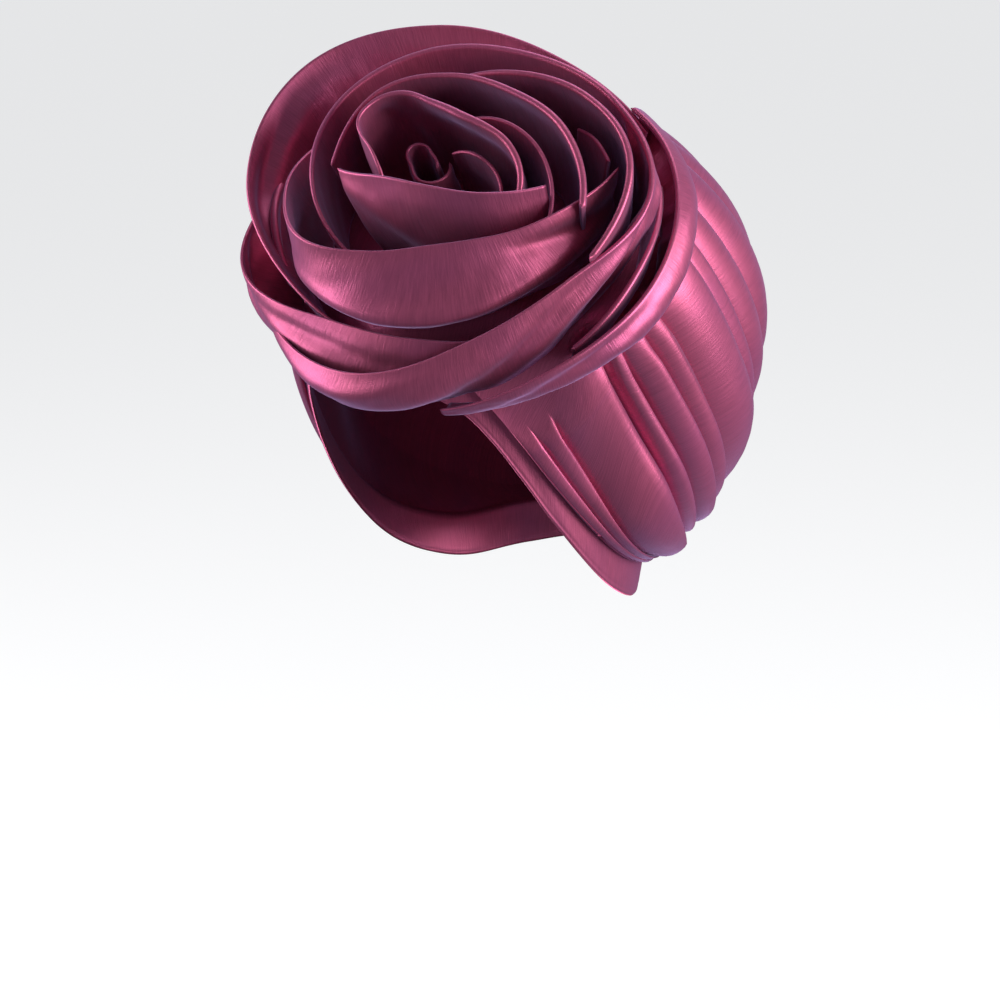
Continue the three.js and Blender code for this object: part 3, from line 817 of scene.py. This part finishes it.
def paper_material():
    """Pale paper with a soft glow, for the floor and the dome."""
    material = bpy.data.materials.new("floor_paper")
    material.use_nodes = True
    shader = material.node_tree.nodes["Principled BSDF"]
    shader.inputs["Base Color"].default_value = (*PAPER, 1.0)
    shader.inputs["Roughness"].default_value = PAPER_ROUGHNESS
    shader.inputs["Emission Color"].default_value = (1, 1, 1, 1)
    shader.inputs["Emission Strength"].default_value = PAPER_GLOW
    return material


def backdrop(name, mesh, material):
    """A stage piece that the camera sees, but that neither lights the cloth nor shows in its shine."""
    thing = bpy.data.objects.new(name, mesh)
    bpy.context.scene.collection.objects.link(thing)
    thing.data.materials.append(material)
    thing.visible_diffuse = False
    thing.visible_glossy = False
    return thing


def around(turn, rise, distance):
    """A place seen from the object: degrees right of the camera, degrees up, metres away."""
    heading = np.arctan2(LOOK_BACK.y, LOOK_BACK.x) + np.radians(turn)
    level = distance * np.cos(np.radians(rise))
    return (level * np.cos(heading), level * np.sin(heading), distance * np.sin(np.radians(rise)))


def softbox(name, place, aim, size, power):
    """A rectangular studio light that faces a point."""
    light = bpy.data.lights.new(name, "AREA")
    light.shape = "RECTANGLE"
    light.size, light.size_y = size
    light.energy = power
    thing = bpy.data.objects.new(name, light)
    thing.location = place
    way = Vector(aim) - Vector(place)
    thing.rotation_euler = way.to_track_quat("-Z", "Y").to_euler()
    bpy.context.scene.collection.objects.link(thing)


crown = make_crown()
crown.data.materials.append(taffeta("crown_taffeta_cloth", WINE, 0.0))
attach(crown, "root")
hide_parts("pleated_crown")

band = make_band()
band.data.materials.append(taffeta("band_taffeta_cloth", WINE, 4.0))
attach(band, "root")
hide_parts("edge_band")

crown_tree = BVHTree.FromPolygons(
    [v.co for v in crown.data.vertices],
    [tuple(p.vertices) for p in crown.data.polygons],
)
rosette_cloth = taffeta("rosette_taffeta_cloth", WINE, 9.0)
for number, row in enumerate(WRAPS):
    fold = make_wrap(row, crown_tree, number)
    fold.data.materials.append(rosette_cloth)
    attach(fold, "root")
    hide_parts(row[0])

paper = paper_material()
floor_mesh = bpy.data.meshes.new("floor")
corners = [
    (x * FLOOR_HALF, y * FLOOR_HALF, FLOOR_LEVEL)
    for x, y in ((-1, -1), (1, -1), (1, 1), (-1, 1))
]
floor_mesh.from_pydata(corners, [], [(0, 1, 2, 3)])
floor = backdrop("floor", floor_mesh, paper)

# A pale dome behind everything, which lets the studio's light through.
dome_mesh = bpy.data.meshes.new("dome")
shell = bmesh.new()
bmesh.ops.create_uvsphere(shell, u_segments=64, v_segments=32, radius=DOME_RADIUS)
shell.to_mesh(dome_mesh)
shell.free()
dome_mesh.polygons.foreach_set("use_smooth", [True] * len(dome_mesh.polygons))
dome = backdrop("dome", dome_mesh, paper)
dome.visible_shadow = False

for title, turn, rise, distance, size, power in LIGHTS:
    softbox(title, around(turn, rise, distance), AIM, size, power)

world = bpy.data.worlds.new("studio")
bpy.context.scene.world = world
world.use_nodes = True
sky = world.node_tree.nodes["Background"]
sky.inputs["Color"].default_value = (*SKY, 1.0)
sky.inputs["Strength"].default_value = SKY_STRENGTH

camera = bpy.data.objects.new("camera", bpy.data.cameras.new("camera"))
camera.data.lens = LENS_MM
camera.data.sensor_width = SENSOR_MM
camera.data.clip_start = NEAR_CLIP
camera.matrix_world = Matrix((
    (LOOK_RIGHT.x, LOOK_UP.x, LOOK_BACK.x, EYE.x),
    (LOOK_RIGHT.y, LOOK_UP.y, LOOK_BACK.y, EYE.y),
    (LOOK_RIGHT.z, LOOK_UP.z, LOOK_BACK.z, EYE.z),
    (0, 0, 0, 1),
))
bpy.context.scene.collection.objects.link(camera)
bpy.context.scene.camera = camera
bpy.context.scene.view_settings.view_transform = "Standard"
